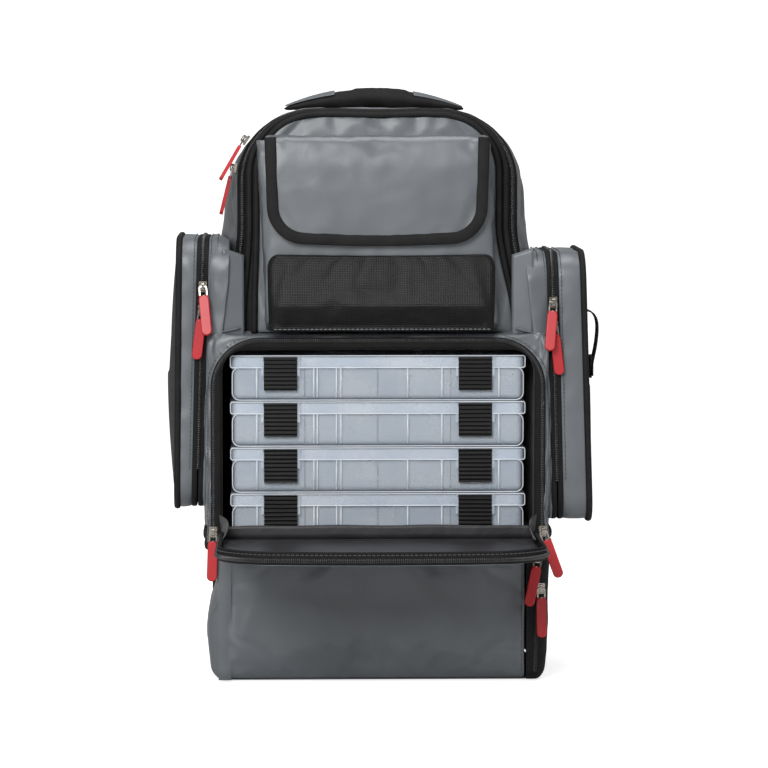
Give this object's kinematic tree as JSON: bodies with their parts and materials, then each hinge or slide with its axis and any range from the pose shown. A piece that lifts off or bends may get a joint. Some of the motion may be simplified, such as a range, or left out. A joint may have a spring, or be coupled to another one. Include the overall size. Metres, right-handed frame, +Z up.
{
  "type": "tackle backpack",
  "caption": "Padded fabric fishing backpack with an arched upper compartment, zipped pockets and a drop-down front flap over stacked clear tackle boxes.",
  "frame": {"origin": "centre of the base's underside, on the surface that the bag stands on", "axes": "+X to the right as the bag is seen from the front, -Y to the front, +Z up"},
  "size_m": [0.408, 0.4426, 0.556],
  "materials": {
    "grey_fabric": "mid-grey coated fabric with a satin sheen",
    "black_lining": "smooth black lining and woven black panel",
    "black_padding": "black neoprene and mesh over foam",
    "black_webbing": "black woven tape and webbing",
    "black_plastic": "moulded black plastic",
    "clear_plastic": "translucent clear polypropylene with a faint blue tint",
    "nickel": "nickel-plated zip slider",
    "red_rubber": "red soft-touch rubber pull on a nickel wire loop"
  },
  "bodies": {
    "bag": {"base_panel": "grey_fabric", "left_wall": "grey_fabric", "right_wall": "grey_fabric", "divider_shelves": "black_lining", "back_panel": "grey_fabric", "tackle_front": "grey_fabric", "tackle_zip_tape": "black_webbing", "tackle_lip": "black_lining", "top_gusset": "grey_fabric", "arch_zip_tape": "black_webbing", "fixed_zip_tapes": "black_webbing", "left_pocket_case": "grey_fabric", "right_pocket_case": "grey_fabric", "handle_grip": "black_padding", "back_pads": "black_padding", "shoulder_straps": "black_padding", "strap_webbing": "black_webbing", "strap_adjusters": "black_plastic"},
    "flap": {"tackle_flap": "grey_fabric", "flap_zip_tape": "black_webbing"},
    "arch_panel": {"arch_door": "grey_fabric", "front_pocket": "grey_fabric", "front_pocket_panel": "black_lining"},
    "pocket_lid": {"pocket_lid": "grey_fabric"},
    "bottom_door": {"bottom_door": "grey_fabric"},
    "left_pocket_door": {"left_pocket_door": "grey_fabric"},
    "right_pocket_door": {"right_pocket_door": "grey_fabric", "side_loop": "black_webbing"},
    "box_1": {"box_1_base": "clear_plastic", "box_1_lid": "clear_plastic"},
    "box_1_latches": {"box_1_latches": "black_plastic"},
    "box_2": {"box_2_base": "clear_plastic", "box_2_lid": "clear_plastic"},
    "box_2_latches": {"box_2_latches": "black_plastic"},
    "box_3": {"box_3_base": "clear_plastic", "box_3_lid": "clear_plastic"},
    "box_3_latches": {"box_3_latches": "black_plastic"},
    "box_4": {"box_4_base": "clear_plastic", "box_4_lid": "clear_plastic"},
    "box_4_latches": {"box_4_latches": "black_plastic"},
    "slider_tackle_left": {"slider_tackle_left": "nickel"},
    "pull_tackle_left": {"pull_tackle_left": "red_rubber"},
    "slider_tackle_right": {"slider_tackle_right": "nickel"},
    "pull_tackle_right": {"pull_tackle_right": "red_rubber"},
    "slider_bottom_upper": {"slider_bottom_upper": "nickel"},
    "pull_bottom_upper": {"pull_bottom_upper": "red_rubber"},
    "slider_bottom_lower": {"slider_bottom_lower": "nickel"},
    "pull_bottom_lower": {"pull_bottom_lower": "red_rubber"},
    "slider_left_upper": {"slider_left_upper": "nickel"},
    "pull_left_upper": {"pull_left_upper": "red_rubber"},
    "slider_left_lower": {"slider_left_lower": "nickel"},
    "pull_left_lower": {"pull_left_lower": "red_rubber"},
    "slider_right_upper": {"slider_right_upper": "nickel"},
    "pull_right_upper": {"pull_right_upper": "red_rubber"},
    "slider_right_lower": {"slider_right_lower": "nickel"},
    "pull_right_lower": {"pull_right_lower": "red_rubber"},
    "slider_arch_upper": {"slider_arch_upper": "nickel"},
    "pull_arch_upper": {"pull_arch_upper": "red_rubber"},
    "slider_arch_lower": {"slider_arch_lower": "nickel"},
    "pull_arch_lower": {"pull_arch_lower": "red_rubber"}
  },
  "joints": [
    {"name": "flap_hinge", "type": "hinge", "parent": "bag", "child": "flap", "pos_m": [0, -0.1115, 0.1343], "axis": [1, 0, 0], "range_deg": [-90, 0]},
    {"name": "arch_panel_hinge", "type": "hinge", "parent": "bag", "child": "arch_panel", "pos_m": [0, -0.1126, 0.327], "axis": [-1, 0, 0], "range_deg": [-100, 0]},
    {"name": "pocket_lid_hinge", "type": "hinge", "parent": "arch_panel", "child": "pocket_lid", "pos_m": [0, -0.0823, 0.512], "axis": [-1, 0, 0], "range_deg": [0, 90]},
    {"name": "bottom_door_hinge", "type": "hinge", "parent": "bag", "child": "bottom_door", "pos_m": [-0.1435, -0.1, 0.066], "axis": [0, 0, -1], "range_deg": [0, 100]},
    {"name": "left_pocket_hinge", "type": "hinge", "parent": "bag", "child": "left_pocket_door", "pos_m": [-0.198, -0.024, 0.156], "axis": [0, -1, 0], "range_deg": [0, 100]},
    {"name": "right_pocket_hinge", "type": "hinge", "parent": "bag", "child": "right_pocket_door", "pos_m": [0.198, -0.024, 0.156], "axis": [0, 1, 0], "range_deg": [0, 100]},
    {"name": "box_1_slide", "type": "slide", "parent": "bag", "child": "box_1", "axis": [0, -1, 0], "range_m": [0, 0.165]},
    {"name": "box_1_latch_hinge", "type": "hinge", "parent": "box_1", "child": "box_1_latches", "pos_m": [0, -0.0943, 0.3038], "axis": [-1, 0, 0], "range_deg": [0, 100]},
    {"name": "box_2_slide", "type": "slide", "parent": "bag", "child": "box_2", "axis": [0, -1, 0], "range_m": [0, 0.165]},
    {"name": "box_2_latch_hinge", "type": "hinge", "parent": "box_2", "child": "box_2_latches", "pos_m": [0, -0.0943, 0.2606], "axis": [-1, 0, 0], "range_deg": [0, 100]},
    {"name": "box_3_slide", "type": "slide", "parent": "bag", "child": "box_3", "axis": [0, -1, 0], "range_m": [0, 0.165]},
    {"name": "box_3_latch_hinge", "type": "hinge", "parent": "box_3", "child": "box_3_latches", "pos_m": [0, -0.0943, 0.2174], "axis": [-1, 0, 0], "range_deg": [0, 100]},
    {"name": "box_4_slide", "type": "slide", "parent": "bag", "child": "box_4", "axis": [0, -1, 0], "range_m": [0, 0.165], "deforming": ["tackle_lip"]},
    {"name": "box_4_latch_hinge", "type": "hinge", "parent": "box_4", "child": "box_4_latches", "pos_m": [0, -0.0943, 0.1742], "axis": [-1, 0, 0], "range_deg": [0, 100]},
    {"name": "slider_tackle_left_travel", "type": "slide", "parent": "bag", "child": "slider_tackle_left", "axis": [0, 0, 1], "range_m": [0, 0.12]},
    {"name": "pull_tackle_left_hinge", "type": "hinge", "parent": "slider_tackle_left", "child": "pull_tackle_left", "pos_m": [-0.154, -0.1056, 0.142], "axis": [-1, 0, 0], "range_deg": [0, 150]},
    {"name": "slider_tackle_right_travel", "type": "slide", "parent": "bag", "child": "slider_tackle_right", "axis": [0, 0, 1], "range_m": [0, 0.12]},
    {"name": "pull_tackle_right_hinge", "type": "hinge", "parent": "slider_tackle_right", "child": "pull_tackle_right", "pos_m": [0.154, -0.1056, 0.142], "axis": [-1, 0, 0], "range_deg": [0, 150]},
    {"name": "slider_bottom_upper_travel", "type": "slide", "parent": "bag", "child": "slider_bottom_upper", "axis": [0, 0, 1], "range_m": [0, 0.006]},
    {"name": "pull_bottom_upper_hinge", "type": "hinge", "parent": "slider_bottom_upper", "child": "pull_bottom_upper", "pos_m": [0.15, -0.1056, 0.117], "axis": [-1, 0, 0], "range_deg": [0, 80]},
    {"name": "slider_bottom_lower_travel", "type": "slide", "parent": "bag", "child": "slider_bottom_lower", "axis": [0, 0, 1], "range_m": [-0.036, 0]},
    {"name": "pull_bottom_lower_hinge", "type": "hinge", "parent": "slider_bottom_lower", "child": "pull_bottom_lower", "pos_m": [0.1525, -0.1056, 0.088], "axis": [-1, 0, 0], "range_deg": [0, 62]},
    {"name": "slider_left_upper_travel", "type": "slide", "parent": "bag", "child": "slider_left_upper", "axis": [0.0254, 0, 0.9997], "range_m": [0, 0.015]},
    {"name": "pull_left_upper_hinge", "type": "hinge", "parent": "slider_left_upper", "child": "pull_left_upper", "pos_m": [-0.16304, -0.0996, 0.371], "axis": [-0.9997, 0, 0.0254], "range_deg": [0, 120]},
    {"name": "slider_left_lower_travel", "type": "slide", "parent": "bag", "child": "slider_left_lower", "axis": [0.0254, 0, 0.9997], "range_m": [-0.165, 0]},
    {"name": "pull_left_lower_hinge", "type": "hinge", "parent": "slider_left_lower", "child": "pull_left_lower", "pos_m": [-0.1636, -0.0996, 0.349], "axis": [-0.9997, 0, 0.0254], "range_deg": [0, 15]},
    {"name": "slider_right_upper_travel", "type": "slide", "parent": "bag", "child": "slider_right_upper", "axis": [-0.0254, 0, 0.9997], "range_m": [0, 0.03]},
    {"name": "pull_right_upper_hinge", "type": "hinge", "parent": "slider_right_upper", "child": "pull_right_upper", "pos_m": [0.16342, -0.0996, 0.356], "axis": [-0.9997, 0, -0.0254], "range_deg": [0, 120]},
    {"name": "slider_right_lower_travel", "type": "slide", "parent": "bag", "child": "slider_right_lower", "axis": [-0.0254, 0, 0.9997], "range_m": [-0.15, 0]},
    {"name": "pull_right_lower_hinge", "type": "hinge", "parent": "slider_right_lower", "child": "pull_right_lower", "pos_m": [0.16398, -0.0996, 0.334], "axis": [-0.9997, 0, -0.0254], "range_deg": [0, 15]},
    {"name": "slider_arch_upper_travel", "type": "hinge", "parent": "bag", "child": "slider_arch_upper", "pos_m": [-0.067, -0.0705, 0.469], "axis": [0, 1, 0], "range_deg": [0, 45]},
    {"name": "pull_arch_upper_hinge", "type": "hinge", "parent": "slider_arch_upper", "child": "pull_arch_upper", "pos_m": [-0.1247, -0.0705, 0.50792], "axis": [0, 1, 0], "range_deg": [0, 100]},
    {"name": "slider_arch_lower_travel", "type": "hinge", "parent": "bag", "child": "slider_arch_lower", "pos_m": [-0.067, -0.0705, 0.469], "axis": [0, 1, 0], "range_deg": [-8, 0]},
    {"name": "pull_arch_lower_hinge", "type": "hinge", "parent": "slider_arch_lower", "child": "pull_arch_lower", "pos_m": [-0.13554, -0.0705, 0.48109], "axis": [0, 1, 0], "range_deg": [0, 95]}
  ]
}
